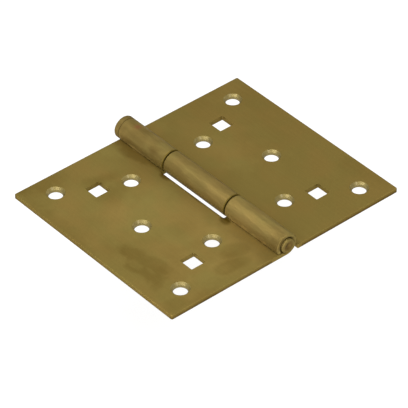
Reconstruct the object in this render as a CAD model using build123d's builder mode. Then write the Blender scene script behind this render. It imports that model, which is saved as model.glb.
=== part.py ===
from build123d import *
import os

os.makedirs("parts", exist_ok=True)

# Construction hinge: two flat sheet-steel leaves with knuckles rolled from the same sheet, and one pin.
# The pin axis runs along Y, the leaves lie open at 180 degrees and rest on the plane z = 0.

# Driving dimensions
leaf_length = 100.0
outer_leaf_reach = 60.2
middle_leaf_reach = 60.8
sheet = 2.2
bore_radius = 3.0
barrel_radius = bore_radius + sheet
outer_corner = 0.8
inner_corner = 0.5
edge_round = 0.3
rim_bevel = 0.3

# Knuckles: the middle one ends at these two heights along the pin, a little off the middle
middle_near = -16.9
middle_far = 20.8
knuckle_gap = 0.8
slot_cut = 5.55
side_cut = 5.85
curl_sweep = 303.5

# Holes: x is measured from the middle of the whole pattern, which lies off the pin axis, y from mid-leaf
pattern_shift = 1.1
outer_hole_x = 48.0
outer_hole_y = 39.5
inner_hole_x = 19.5
inner_hole_y = 25.5
middle_hole_x = 35.0
hole_radius = 3.1
sink_radius = 4.1
sink_angle = 90.0
square_hole_x = 33.5
square_hole_y = 30.0
square_side = 7.5
square_corner = 0.4

# Pin
pin_clearance = 0.05
pin_radius = bore_radius - pin_clearance
pin_play = 0.02
head_radius = 5.2
head_height = 2.7
head_round = 0.7
mouth_radius = 4.0
peened_radius = 3.2
peened_height = 0.8
peened_bevel = 0.25
dish_radius = 1.8
dish_depth = 0.5

half_length = leaf_length / 2
pin_axis = Axis((0, 0, barrel_radius), (0, 1, 0))

# The straight side cuts that part one leaf's knuckles from the other's
notch_near = middle_near - knuckle_gap
notch_far = middle_far + knuckle_gap


# Leaf with the two outer knuckles, on the -X side
with BuildPart() as outer_knuckle_leaf:
    # Flat blank with a notch for the middle knuckle
    with BuildSketch(Plane.XY):
        with BuildLine():
            Polyline(
                (0, -half_length),
                (0, notch_near),
                (-slot_cut, notch_near),
                (-slot_cut, notch_far),
                (0, notch_far),
                (0, half_length),
                (-outer_leaf_reach, half_length),
                (-outer_leaf_reach, -half_length),
                close=True,
            )
        make_face()
        fillet(vertices().group_by(Axis.X)[0], radius=outer_corner)
        fillet(vertices().group_by(Axis.X)[-2], radius=inner_corner)
    extrude(amount=sheet)
    blank_rim = edges().group_by(Axis.Z)[-1]
    fillet(blank_rim.filter_by_position(Axis.X, -outer_leaf_reach, -slot_cut / 4), radius=edge_round)

    # The blank's two tongues curl up, over the pin and back down to the leaf
    for near_end, far_end in ((-half_length, notch_near), (notch_far, half_length)):
        with BuildSketch(Plane.XZ.offset(-far_end)):
            with BuildLine():
                outer_curl = CenterArc((0, barrel_radius), barrel_radius, -90, curl_sweep)
                inner_curl = CenterArc((0, barrel_radius), bore_radius, -90, curl_sweep)
                Line(outer_curl @ 0, inner_curl @ 0)
                Line(outer_curl @ 1, inner_curl @ 1)
            make_face()
        extrude(amount=far_end - near_end)
    knuckle_rims = edges().filter_by(GeomType.CIRCLE).filter_by(lambda rim: rim.radius > bore_radius + sheet / 2)
    # The far rim stays sharp under the pin's head
    chamfer(knuckle_rims.filter_by_position(Axis.Y, -half_length, notch_far), length=rim_bevel)

    # Flared mouth for the peened end of the pin
    with BuildSketch(Plane.YZ):
        with BuildLine():
            Polyline(
                (-half_length, barrel_radius),
                (-half_length, barrel_radius + mouth_radius),
                (-half_length + mouth_radius, barrel_radius),
                close=True,
            )
        make_face()
    revolve(axis=pin_axis, mode=Mode.SUBTRACT)

    # Countersunk screw holes
    for hole_x, hole_y in (
        (outer_hole_x, -outer_hole_y),
        (outer_hole_x, outer_hole_y),
        (inner_hole_x, -inner_hole_y),
        (inner_hole_x, inner_hole_y),
        (middle_hole_x, 0),
    ):
        with Locations((pattern_shift - hole_x, hole_y, sheet)):
            CounterSinkHole(hole_radius, sink_radius, counter_sink_angle=sink_angle)

    # Square holes for carriage bolts
    with BuildSketch(Plane.XY):
        for bolt_y in (-square_hole_y, square_hole_y):
            with Locations((pattern_shift - square_hole_x, bolt_y)):
                RectangleRounded(square_side, square_side, square_corner)
    extrude(amount=sheet, mode=Mode.SUBTRACT)


# Leaf with the middle knuckle, on the +X side
with BuildPart() as middle_knuckle_leaf:
    # Flat blank with one tongue in the middle
    with BuildSketch(Plane.XY):
        with BuildLine():
            Polyline(
                (0, middle_near),
                (0, middle_far),
                (side_cut, middle_far),
                (side_cut, half_length),
                (middle_leaf_reach, half_length),
                (middle_leaf_reach, -half_length),
                (side_cut, -half_length),
                (side_cut, middle_near),
                close=True,
            )
        make_face()
        fillet(vertices().group_by(Axis.X)[-1], radius=outer_corner)
        fillet(vertices().group_by(Axis.X)[1], radius=inner_corner)
    extrude(amount=sheet)
    blank_rim = edges().group_by(Axis.Z)[-1]
    fillet(blank_rim.filter_by_position(Axis.X, side_cut / 4, middle_leaf_reach), radius=edge_round)

    # The tongue curls the other way round, back down to its own leaf
    with BuildSketch(Plane.XZ.offset(-middle_far)):
        with BuildLine():
            outer_curl = CenterArc((0, barrel_radius), barrel_radius, -90, -curl_sweep)
            inner_curl = CenterArc((0, barrel_radius), bore_radius, -90, -curl_sweep)
            Line(outer_curl @ 0, inner_curl @ 0)
            Line(outer_curl @ 1, inner_curl @ 1)
        make_face()
    extrude(amount=middle_far - middle_near)
    knuckle_rims = edges().filter_by(GeomType.CIRCLE).filter_by(lambda rim: rim.radius > bore_radius + sheet / 2)
    chamfer(knuckle_rims, length=rim_bevel)

    # Countersunk screw holes
    for hole_x, hole_y in (
        (outer_hole_x, -outer_hole_y),
        (outer_hole_x, outer_hole_y),
        (inner_hole_x, -inner_hole_y),
        (inner_hole_x, inner_hole_y),
        (middle_hole_x, 0),
    ):
        with Locations((pattern_shift + hole_x, hole_y, sheet)):
            CounterSinkHole(hole_radius, sink_radius, counter_sink_angle=sink_angle)

    # Square holes for carriage bolts
    with BuildSketch(Plane.XY):
        for bolt_y in (-square_hole_y, square_hole_y):
            with Locations((pattern_shift + square_hole_x, bolt_y)):
                RectangleRounded(square_side, square_side, square_corner)
    extrude(amount=sheet, mode=Mode.SUBTRACT)


# Pin: plain shank, a formed head at the far end and a peened, dished end that sits in the flared mouth
with BuildPart() as hinge_pin:
    peened_face = -half_length - peened_height
    head_seat = half_length + pin_play
    mouth_gap = mouth_radius - pin_play - peened_radius
    with BuildSketch(Plane.YZ):
        with BuildLine():
            Polyline(
                (peened_face + dish_depth, barrel_radius),
                (peened_face, barrel_radius + dish_radius),
                (peened_face, barrel_radius + peened_radius),
                (-half_length + mouth_gap, barrel_radius + peened_radius),
                (-half_length + mouth_gap + peened_radius - pin_radius, barrel_radius + pin_radius),
                (head_seat, barrel_radius + pin_radius),
                (head_seat, barrel_radius + head_radius),
                (head_seat + head_height, barrel_radius + head_radius),
                (head_seat + head_height, barrel_radius),
                close=True,
            )
        make_face()
    revolve(axis=pin_axis)
    round_edges = edges().filter_by(GeomType.CIRCLE)
    fillet(round_edges.group_by(Axis.Y)[-1], radius=head_round)
    chamfer(round_edges.group_by(Axis.Y)[0].sort_by(SortBy.RADIUS)[-1], length=peened_bevel)


outer_knuckle_leaf.part.label = "outer_knuckle_leaf"
export_step(outer_knuckle_leaf.part, "parts/outer_knuckle_leaf.step")

middle_knuckle_leaf.part.label = "middle_knuckle_leaf"
export_step(middle_knuckle_leaf.part, "parts/middle_knuckle_leaf.step")

hinge_pin.part.label = "hinge_pin"
export_step(hinge_pin.part, "parts/hinge_pin.step")
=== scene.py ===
import math

import bpy
from mathutils import Matrix, Vector

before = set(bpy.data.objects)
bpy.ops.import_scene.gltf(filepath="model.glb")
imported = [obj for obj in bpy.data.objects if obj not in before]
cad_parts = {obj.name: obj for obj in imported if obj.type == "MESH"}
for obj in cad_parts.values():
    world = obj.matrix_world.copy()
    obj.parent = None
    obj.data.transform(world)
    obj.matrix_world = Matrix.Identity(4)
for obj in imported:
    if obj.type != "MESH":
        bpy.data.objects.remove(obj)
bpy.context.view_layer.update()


# The photographer's place: the camera stands left of the open hinge and above it, far away behind a long
# lens, so that the leaves' edges stay almost parallel. It looks at a point near the middle knuckle.

camera_data = bpy.data.cameras.new("camera")
camera_data.sensor_width = 36.0
camera_data.lens = 269.78
camera_data.clip_end = 20.0
camera = bpy.data.objects.new("camera", camera_data)
bpy.context.scene.collection.objects.link(camera)
bpy.context.scene.camera = camera


def place_camera(azimuth, elevation, roll, distance, target):
    """Puts the camera at a distance from the target, along a direction given by azimuth and elevation in degrees, and
    rolls it about that direction."""
    a, e, r = (math.radians(v) for v in (azimuth, elevation, roll))
    back = Vector((math.sin(a) * math.cos(e), -math.cos(a) * math.cos(e), math.sin(e)))
    right = Vector((math.cos(a), math.sin(a), 0.0))
    up = back.cross(right)
    right, up = right * math.cos(r) + up * math.sin(r), up * math.cos(r) - right * math.sin(r)
    turn = Matrix((right, up, back)).transposed().to_4x4()
    camera.matrix_world = Matrix.Translation(Vector(target) + back * distance) @ turn


place_camera(azimuth=-40.36, elevation=39.31, roll=-0.40, distance=1.24454, target=(-0.00575, -0.00578, 0.0022))


# The studio: a white sheet under the hinge and white softboxes round it. The sheet photographs as plain white,
# in the metal's reflections too, and keeps a faint shadow. It hangs just below the reach of the moving leaf.

bpy.context.scene.view_settings.view_transform = "Standard"

sheet_height = -0.060
sheet_corners = [(x, y, sheet_height) for x, y in ((-3, -3), (3, -3), (3, 3), (-3, 3))]
sheet_mesh = bpy.data.meshes.new("studio_sheet")
sheet_mesh.from_pydata(sheet_corners, [], [(0, 1, 2, 3)])
studio_sheet = bpy.data.objects.new("studio_sheet", sheet_mesh)
bpy.context.scene.collection.objects.link(studio_sheet)

paper = bpy.data.materials.new("studio_paper")
paper.use_nodes = True
tree = paper.node_tree
tree.nodes.clear()
paper_out = tree.nodes.new("ShaderNodeOutputMaterial")
paper_mix = tree.nodes.new("ShaderNodeMixShader")
plain_paper = tree.nodes.new("ShaderNodeBsdfDiffuse")
plain_paper.inputs["Color"].default_value = (0.80, 0.80, 0.80, 1.0)
bright_paper = tree.nodes.new("ShaderNodeAddShader")
glow = tree.nodes.new("ShaderNodeEmission")
glow.inputs["Color"].default_value = (1.0, 1.0, 1.0, 1.0)
glow.inputs["Strength"].default_value = 0.88
shade_keeper = tree.nodes.new("ShaderNodeBsdfDiffuse")
shade_keeper.inputs["Color"].default_value = (0.19, 0.19, 0.19, 1.0)
ray = tree.nodes.new("ShaderNodeLightPath")
tree.links.new(glow.outputs["Emission"], bright_paper.inputs[0])
tree.links.new(shade_keeper.outputs["BSDF"], bright_paper.inputs[1])
seen = ray.outputs["Is Camera Ray"]
for kind in ("Is Glossy Ray", "Is Transmission Ray"):
    either = tree.nodes.new("ShaderNodeMath")
    either.operation = "MAXIMUM"
    tree.links.new(seen, either.inputs[0])
    tree.links.new(ray.outputs[kind], either.inputs[1])
    seen = either.outputs["Value"]
tree.links.new(seen, paper_mix.inputs["Fac"])
tree.links.new(plain_paper.outputs["BSDF"], paper_mix.inputs[1])
tree.links.new(bright_paper.outputs["Shader"], paper_mix.inputs[2])
tree.links.new(paper_mix.outputs["Shader"], paper_out.inputs["Surface"])
sheet_mesh.materials.append(paper)

studio_air = bpy.data.worlds.new("studio_air")
bpy.context.scene.world = studio_air
studio_air.use_nodes = True
air = studio_air.node_tree.nodes["Background"]
air.inputs["Color"].default_value = (1.0, 1.0, 1.0, 1.0)
air.inputs["Strength"].default_value = 0.30


def softbox(name, direction, distance, size, power):
    """A square white light of a size and power, at a distance along a direction from the hinge, turned to face it."""
    light = bpy.data.lights.new(name, "AREA")
    light.shape = "SQUARE"
    light.size = size
    light.energy = power
    box = bpy.data.objects.new(name, light)
    bpy.context.scene.collection.objects.link(box)
    way = Vector(direction).normalized()
    box.matrix_world = Matrix.Translation(way * distance) @ way.to_track_quat("Z", "Y").to_matrix().to_4x4()


softbox("left_softbox", (-0.80, -0.50, 0.33), 0.8, 0.8, 6.0)
softbox("right_softbox", (0.78, 0.05, 0.60), 1.8, 0.9, 10.9)
softbox("top_softbox", (-0.35, 0.05, 0.93), 0.6, 0.3, 2.8)
softbox("left_spot", (-0.71, 0.13, 0.69), 1.0, 0.10, 0.42)
softbox("front_spot", (0.04, -0.68, 0.73), 1.0, 0.10, 1.6)


# The leaf with the two outer knuckles: cold-rolled sheet steel, punched, countersunk and rolled round the
# pin. It is zinc plated and yellow passivated, which leaves a thin cloudy olive-brass film. Handling has
# left darker stains near its outer edge and round the near knuckle. Painted shade darkens the leaf beside
# the far knuckle, the knuckles' tops and the slot's edge and ends; painted light lifts the knuckles'
# undersides, the near mouth and the leaf towards the barrel.

sheet_top = 0.0022
leaf_end = 0.050
leaf_start = 0.008
barrel_reach = 0.010
knuckle_faces_reach = 0.022
sink_radius = 0.0041
deep_film = (0.156, 0.104, 0.022)
light_film = (0.308, 0.214, 0.060)
barrel_cast = (0.26, 0.20, 0.105)
# painted shade for the knuckle end faces in the gaps and the slot's end walls
knuckle_gap_shade = (0.150, 0.105, 0.020)
fleck_brown = (0.24, 0.10, 0.04)
cut_cone = (0.25, 0.195, 0.068)


def group_with(name, taken, given):
    """An empty node group with its input and output sockets, and its input, output and coordinate nodes."""
    group = bpy.data.node_groups.new(name, "ShaderNodeTree")
    for label, kind in taken:
        group.interface.new_socket(name=label, in_out="INPUT", socket_type=kind)
    for label in given:
        group.interface.new_socket(name=label, in_out="OUTPUT", socket_type="NodeSocketFloat")
    nodes = group.nodes
    return group, nodes.new("NodeGroupInput"), nodes.new("NodeGroupOutput"), nodes.new("ShaderNodeTexCoord")


def sum_node(group, operation, first, second, third=None):
    """One Math node: each of its values is a number or another node's output."""
    node = group.nodes.new("ShaderNodeMath")
    node.operation = operation
    for place, value in enumerate((first, second, third)):
        if isinstance(value, (int, float)):
            node.inputs[place].default_value = value
        elif value is not None:
            group.links.new(value, node.inputs[place])
    return node.outputs["Value"]


def ramp_node(group, value, low, high, start=0.0, stop=1.0):
    """A smooth step from start to stop as the value goes from low to high."""
    node = group.nodes.new("ShaderNodeMapRange")
    node.interpolation_type = "SMOOTHSTEP"
    group.links.new(value, node.inputs["Value"])
    for label, limit in (("From Min", low), ("From Max", high), ("To Min", start), ("To Max", stop)):
        if isinstance(limit, (int, float)):
            node.inputs[label].default_value = limit
        else:
            group.links.new(limit, node.inputs[label])
    return node.outputs["Result"]


def noise_node(group, place, scale, detail, stretch):
    """Noise over the object's own coordinates, which the stretch multiplies first."""
    scaled = group.nodes.new("ShaderNodeVectorMath")
    scaled.operation = "MULTIPLY"
    scaled.inputs[1].default_value = stretch
    group.links.new(place, scaled.inputs[0])
    noise = group.nodes.new("ShaderNodeTexNoise")
    noise.inputs["Scale"].default_value = scale
    noise.inputs["Detail"].default_value = detail
    group.links.new(scaled.outputs["Vector"], noise.inputs["Vector"])
    return noise.outputs["Fac"]


def film_grain_group():
    """Clouds and hues in the film, its grain, and the streaks and bands that rolling leaves. Each mask is a noise,
    slow or quick, some of them drawn out along the pin, that a smooth step takes from 0 at low to 1 at high."""
    # Each mask: its name, the noise's scale and detail, what x, y and z are multiplied by, and low and high
    layers = (
        ("Clouds", 26.0, 3.0, (1.0, 1.0, 1.0), 0.3, 0.7),
        ("Hues", 75.0, 2.0, (1.0, 0.8, 1.3), 0.35, 0.65),
        ("Grain", 900.0, 4.0, (1.0, 1.0, 1.0), 0.2, 0.8),
        ("Streaks", 1400.0, 2.0, (1.0, 0.04, 1.0), 0.3, 0.7),
        ("Rolls", 300.0, 2.0, (1.0, 0.22, 1.0), 0.3, 0.7),
    )
    group, _, given, place = group_with("film_grain", (), [layer[0] for layer in layers])
    for label, scale, detail, stretch, low, high in layers:
        noise = noise_node(group, place.outputs["Object"], scale, detail, stretch)
        group.links.new(ramp_node(group, noise, low, high), given.inputs[label])
    return group


film_grain = film_grain_group()


def film_stain_group():
    """One oval patch in the film, used both for real marks and for painted light and shade: the distance from its
    centre as a share of its reach, bent by a noise, and a smooth step that falls from 1 to 0 over the outer edge of
    that oval."""
    vector, number = "NodeSocketVector", "NodeSocketFloat"
    sockets = (("Centre", vector), ("Reach", vector), ("Edge", number), ("Bend", number))
    group, taken, given, place = group_with("film_stain", sockets, ("Oval",))
    away = group.nodes.new("ShaderNodeVectorMath")
    away.operation = "SUBTRACT"
    group.links.new(place.outputs["Object"], away.inputs[0])
    group.links.new(taken.outputs["Centre"], away.inputs[1])
    share = group.nodes.new("ShaderNodeVectorMath")
    share.operation = "DIVIDE"
    group.links.new(away.outputs["Vector"], share.inputs[0])
    group.links.new(taken.outputs["Reach"], share.inputs[1])
    length = group.nodes.new("ShaderNodeVectorMath")
    length.operation = "LENGTH"
    group.links.new(share.outputs["Vector"], length.inputs[0])
    noise = noise_node(group, place.outputs["Object"], 110.0, 3.0, (1.0, 1.0, 1.0))
    wander = sum_node(group, "SUBTRACT", noise, 0.5)
    bent = sum_node(group, "MULTIPLY_ADD", wander, taken.outputs["Bend"], length.outputs["Value"])
    inner = sum_node(group, "SUBTRACT", 1.0, taken.outputs["Edge"])
    group.links.new(ramp_node(group, bent, inner, 1.0, 1.0, 0.0), given.inputs["Oval"])
    return group


film_stain = film_stain_group()


def size_of(group, value):
    """A value without its sign."""
    return sum_node(group, "ABSOLUTE", value, 0.0)


def all_of(group, first, *others):
    """The product of several masks: 1 only where each of them is 1."""
    for other in others:
        first = sum_node(group, "MULTIPLY", first, other)
    return first


def parts_of(group, vector):
    """The X, Y and Z of a vector."""
    parts = group.nodes.new("ShaderNodeSeparateXYZ")
    group.links.new(vector, parts.inputs["Vector"])
    return [parts.outputs[axis] for axis in "XYZ"]


def cut_face_group():
    """Cut faces: Ends is 1 on the knuckle faces that look along the pin between the outer knuckles, where the gaps take
    painted shade, and Edges rises down the upright faces of the flat sheet towards their bottom, most at the leaves'
    two ends."""
    group, _, given, place = group_with("cut_faces", (), ("Ends", "Edges"))
    x, y, z = parts_of(group, place.outputs["Object"])
    _, facing_y, facing_z = parts_of(group, place.outputs["Normal"])
    along_pin = ramp_node(group, size_of(group, facing_y), 0.4, 0.65)
    beside = sum_node(group, "LESS_THAN", size_of(group, x), barrel_reach)
    between = sum_node(group, "LESS_THAN", size_of(group, y), knuckle_faces_reach)
    group.links.new(all_of(group, along_pin, beside, between), given.inputs["Ends"])
    upright = ramp_node(group, size_of(group, facing_z), 0.3, 0.9, 1.0, 0.0)
    clear = sum_node(group, "GREATER_THAN", size_of(group, x), leaf_start)
    # darker towards the bottom of the upright faces
    lower_down = ramp_node(group, z, 0.0002, sheet_top - 0.0003, 1.0, 0.2)
    leaf_ends = ramp_node(group, size_of(group, y), leaf_end - 0.0020, leaf_end - 0.0006, 0.35, 1.0)
    group.links.new(all_of(group, upright, clear, lower_down, leaf_ends), given.inputs["Edges"])
    return group


cut_faces = cut_face_group()


hole_labels = ("Outer Hole", "Inner Hole", "Middle Hole")


def countersink_group():
    """Countersinks: 1 on the cut walls, near one of three hole centres that repeat on both sides of mid-leaf, and 0 on
    the leaf's two faces. The nearest centre is the least of three distances, with y taken without its sign."""
    sockets = [(label, "NodeSocketVector") for label in hole_labels]
    group, taken, given, place = group_with("countersinks", sockets, ("Cones",))
    x, y, z = parts_of(group, place.outputs["Object"])
    folded = group.nodes.new("ShaderNodeCombineXYZ")
    group.links.new(x, folded.inputs["X"])
    group.links.new(size_of(group, y), folded.inputs["Y"])
    nearest = 1.0
    for label in hole_labels:
        gap = group.nodes.new("ShaderNodeVectorMath")
        gap.operation = "DISTANCE"
        group.links.new(folded.outputs["Vector"], gap.inputs[0])
        group.links.new(taken.outputs[label], gap.inputs[1])
        nearest = sum_node(group, "MINIMUM", gap.outputs["Value"], nearest)
    within = ramp_node(group, nearest, sink_radius - 0.00005, sink_radius + 0.00005, 1.0, 0.0)
    below_top = ramp_node(group, z, sheet_top - 0.00005, sheet_top - 0.00001, 1.0, 0.0)
    off_underside = ramp_node(group, z, 0.0001, 0.0003)
    group.links.new(all_of(group, within, below_top, off_underside), given.inputs["Cones"])
    return group


countersinks = countersink_group()


def colour_layer(tree, mask, under, over):
    """One mix of two colours by a mask: under where the mask is 0, over where it is 1, and further along the same line
    outside that."""
    layer = tree.nodes.new("ShaderNodeMix")
    layer.data_type = "RGBA"
    layer.clamp_factor = False
    tree.links.new(mask, layer.inputs["Factor"])
    for label, colour in (("A", under), ("B", over)):
        if isinstance(colour, tuple):
            layer.inputs[label].default_value = (*colour, 1.0)
        else:
            tree.links.new(colour, layer.inputs[label])
    return layer.outputs["Result"]


def placed(tree, effect):
    """A node that puts one of the shared effects in a material."""
    node = tree.nodes.new("ShaderNodeGroup")
    node.node_tree = effect
    return node


def oval_mask(tree, centre, reach, edge):
    """The mask of one oval patch, with its centre and its reach each way in millimetres, and the share of the reach
    over which its edge fades."""
    stain = placed(tree, film_stain)
    stain.inputs["Centre"].default_value = [v / 1000 for v in centre]
    stain.inputs["Reach"].default_value = [v / 1000 for v in reach]
    stain.inputs["Edge"].default_value = edge
    stain.inputs["Bend"].default_value = 1.7
    return stain.outputs["Oval"]


def plated_steel(name, level, clouding, stains_and_painted_light, holes=(), flecks=()):
    """Satin plated steel. The film's level is a base plus clouds, streaks, each oval patch's mask times its strength,
    some patches real marks of the film and some painted light or shade, and the barrel's rolled bands, less the darker
    cut edges. It mixes the film's deep colour with its light one, which wanders in hue. Over that lie a greyer cast on
    the barrel, painted shade on the knuckle ends in the gaps, flecks, and the cones of the holes."""
    steel = bpy.data.materials.new(name)
    steel.use_nodes = True
    tree = steel.node_tree
    metal = tree.nodes["Principled BSDF"]
    streaking, banding, edge_darkening = 0.05, 0.25, 0.95
    cast_share, fleck_share = 0.12, 0.75
    thin_coat, cone_coat = 0.04, 0.30
    smoothest, grain_roughness = 0.40, 0.10
    grain_relief, streak_relief, band_relief = 0.8, 0.25, 10.0
    for label, value in (
        ("Metallic", 0.55),
        ("Specular IOR Level", 0.05),
        ("Specular Tint", (0.08, 0.065, 0.035, 1.0)),
        ("Coat Weight", thin_coat),
        ("Coat Roughness", 0.28),
    ):
        metal.inputs[label].default_value = value
    grain = placed(tree, film_grain).outputs
    cut = placed(tree, cut_faces).outputs
    height = parts_of(tree, tree.nodes.new("ShaderNodeTexCoord").outputs["Object"])[2]
    barrel = ramp_node(tree, height, sheet_top, sheet_top + 0.0008)

    carried = sum_node(tree, "MULTIPLY_ADD", grain["Clouds"], 2 * clouding, level - clouding)
    carried = sum_node(tree, "MULTIPLY_ADD", grain["Streaks"], streaking, carried)
    for strength, edge, ovals in stains_and_painted_light:
        patch = 0.0
        for centre, reach in ovals:
            patch = sum_node(tree, "MAXIMUM", oval_mask(tree, centre, reach, edge), patch)
        carried = sum_node(tree, "MULTIPLY_ADD", patch, strength, carried)
    carried = sum_node(tree, "MULTIPLY_ADD", cut["Edges"], -edge_darkening, carried)
    bands = all_of(tree, sum_node(tree, "SUBTRACT", grain["Rolls"], 0.5), barrel)
    carried = sum_node(tree, "MULTIPLY_ADD", bands, banding, carried)

    red, green, blue = light_film
    hue = colour_layer(tree, grain["Hues"], light_film, (red * 0.91, green * 1.02, blue))
    film = colour_layer(tree, carried, deep_film, hue)
    film = colour_layer(tree, all_of(tree, barrel, cast_share), film, barrel_cast)
    # painted shade on the knuckle ends in the gaps and the slot's end walls
    film = colour_layer(tree, cut["Ends"], film, knuckle_gap_shade)
    for centre, reach in flecks:
        fleck = all_of(tree, oval_mask(tree, centre, reach, 0.8), fleck_share)
        film = colour_layer(tree, fleck, film, fleck_brown)
    if holes:
        sunk = placed(tree, countersinks)
        for label, (hole_x, hole_y) in zip(hole_labels, holes):
            sunk.inputs[label].default_value = (hole_x / 1000, hole_y / 1000, 0.0)
        cones = sunk.outputs["Cones"]
        film = colour_layer(tree, cones, film, cut_cone)
        tree.links.new(sum_node(tree, "MULTIPLY_ADD", cones, cone_coat, thin_coat), metal.inputs["Coat Weight"])
    tree.links.new(film, metal.inputs["Base Color"])
    roughness = sum_node(tree, "MULTIPLY_ADD", grain["Grain"], grain_roughness, smoothest)
    tree.links.new(roughness, metal.inputs["Roughness"])

    relief = sum_node(tree, "MULTIPLY_ADD", grain["Streaks"], streak_relief, all_of(tree, grain["Grain"], grain_relief))
    relief = sum_node(tree, "ADD", relief, all_of(tree, grain["Rolls"], barrel, band_relief))
    bump = tree.nodes.new("ShaderNodeBump")
    bump.inputs["Strength"].default_value = 0.12
    bump.inputs["Distance"].default_value = 0.0002
    tree.links.new(relief, bump.inputs["Height"])
    tree.links.new(bump.outputs["Normal"], metal.inputs["Normal"])
    return steel


# Each row is a stain or a patch of painted light or shade: how much it adds to the film's level, how soft its edge is,
# and its ovals, by centre and reach in mm
outer_leaf_stains_and_painted_light = (
    # partly a paler patch of the film, partly painted light against the barrel's shadow on the leaf and the barrel's
    # side
    (0.22, 0.9, (((-23, 0, 2), (32, 42, 30)),)),
    (0.16, 0.9, (((-31, -40, 2), (15, 9, 20)),)),
    (-0.30, 0.9, (((-31, 24, 2), (12, 10, 20)), ((-28, 34, 2), (12, 6, 20)))),
    (-0.20, 0.9, (((-60, 20, 2), (6.5, 36, 20)),)),
    (-0.14, 0.9, (((-22, -11, 2), (9, 8, 20)), ((-50, -3, 2), (9, 10, 20)))),
    (-0.16, 0.9, (((-44, -49, 2), (12, 4, 20)), ((-57, 42, 2), (9, 12, 20)))),
    (0.22, 0.9, (((-11.5, 46, 2), (7, 7, 3)),)),
    (-0.30, 0.5, (((-49.0, -23, 2), (8.0, 14, 20)), ((-47, -11, 2), (6.5, 8, 20)))),
    (0.16, 0.7, (((-51, -17, 2), (2.5, 5, 20)), ((-49, -24, 2), (1.5, 4, 20)))),
    (-0.30, 0.6, (((-16, -36.5, 2), (8, 6, 20)), ((-22, -42, 2), (10, 5, 20)))),
    (-0.18, 0.7, (((-54, -46, 2), (9, 5, 20)),)),
    (-0.06, 0.9, (((-47, 14, 2), (9, 12, 20)),)),
    (-0.20, 0.9, (((-46, 47, 2), (16, 11, 20)),)),
    # painted shadow on the leaf beside the far knuckle, in this row and the next
    (-0.12, 0.9, (((-19, 26, 2), (14, 13, 20)),)),
    (-0.42, 0.5, (((-4, 37, 2), (6, 21, 2)),)),
    (0.20, 0.9, (((-13, -34, 2), (8, 22, 3)),)),
    # painted light on the undersides of the far and near knuckles where they curl down to the leaf, in this row and the
    # next
    (2.90, 0.8, (((-4.25, 36, 3.7), (1.25, 18, 1.8)),)),
    (2.60, 0.8, (((-4.3, -34, 3.8), (1.4, 19, 1.95)),)),
    # painted light in the near flared mouth, lifting the shade of the groove round the pin's end
    (0.60, 0.4, (((0, -48.5, 5.2), (3.9, 2.5, 3.9)),)),
    # painted shade on the far knuckle's top and at the near knuckle's near end, dimming their highlight, in this row
    # and the next two
    (-0.44, 0.8, (((-2, 37, 8), (7, 19, 7)),)),
    (-0.36, 0.9, (((-4.2, 23, 7.4), (5, 11, 5)),)),
    (-0.40, 0.9, (((-4, -48, 7.6), (5, 8, 5)),)),
    # painted shadow along the leaf's edge beside the slot
    (-0.90, 0.8, (((-5.3, 1, 2.2), (1.6, 23, 1.6)),)),
    # painted shade at the slot's two ends
    (-0.80, 0.8, (((-6.4, 18.5, 2), (2.2, 4.5, 2)), ((-6.4, -19.5, 2), (2.4, 3, 2)))),
)
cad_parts["outer_knuckle_leaf"].material_slots[0].material = plated_steel(
    "outer_leaf_film",
    level=0.55,
    clouding=0.08,
    stains_and_painted_light=outer_leaf_stains_and_painted_light,
    holes=((-46.9, 39.5), (-18.4, 25.5), (-33.9, 0)),
    flecks=(((0.2, 43, 10.4), (2.5, 2.4, 2.4)),),
)


# The leaf with the middle knuckle: the same sheet and the same plating, with its film set a little darker and
# more even, a few paler patches, a darker outer edge and a painted highlight on the knuckle's top.

middle_leaf_stains_and_painted_light = (
    (0.14, 0.9, (((24, 12, 2), (12, 20, 20)),)),
    (0.10, 0.9, (((22, 18, 2), (28, 42, 20)),)),
    (0.12, 0.9, (((11, 48, 2), (14, 10, 20)), ((52, 47, 2), (14, 9, 20)))),
    (-0.10, 0.9, (((56, -31, 2), (11, 15, 20)),)),
    # painted highlight on the middle knuckle's top
    (0.12, 0.9, (((-2, 0, 10), (4, 22, 4)),)),
)
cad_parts["middle_knuckle_leaf"].material_slots[0].material = plated_steel(
    "middle_leaf_film",
    level=0.40,
    clouding=0.04,
    stains_and_painted_light=middle_leaf_stains_and_painted_light,
    holes=((49.1, 39.5), (20.6, 25.5), (36.1, 0)),
)


# The pin: a plain steel shank through all three knuckles, plated with them. Its far end is formed to a head as
# wide as the barrel, and its near end is peened into the flared mouth with a dished punch; painted shade darkens the
# dish.

pin_stains_and_painted_shade = (
    # painted shade in the dish of the peened near end
    (-0.70, 0.5, (((0.4, -50.8, 5.0), (2.3, 3, 2.5)),)),
    (-0.22, 0.5, (((0, 52.5, 5.2), (8, 4, 8)),)),
)
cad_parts["hinge_pin"].material_slots[0].material = plated_steel(
    "pin_film",
    level=0.42,
    clouding=0.05,
    stains_and_painted_light=pin_stains_and_painted_shade,
)
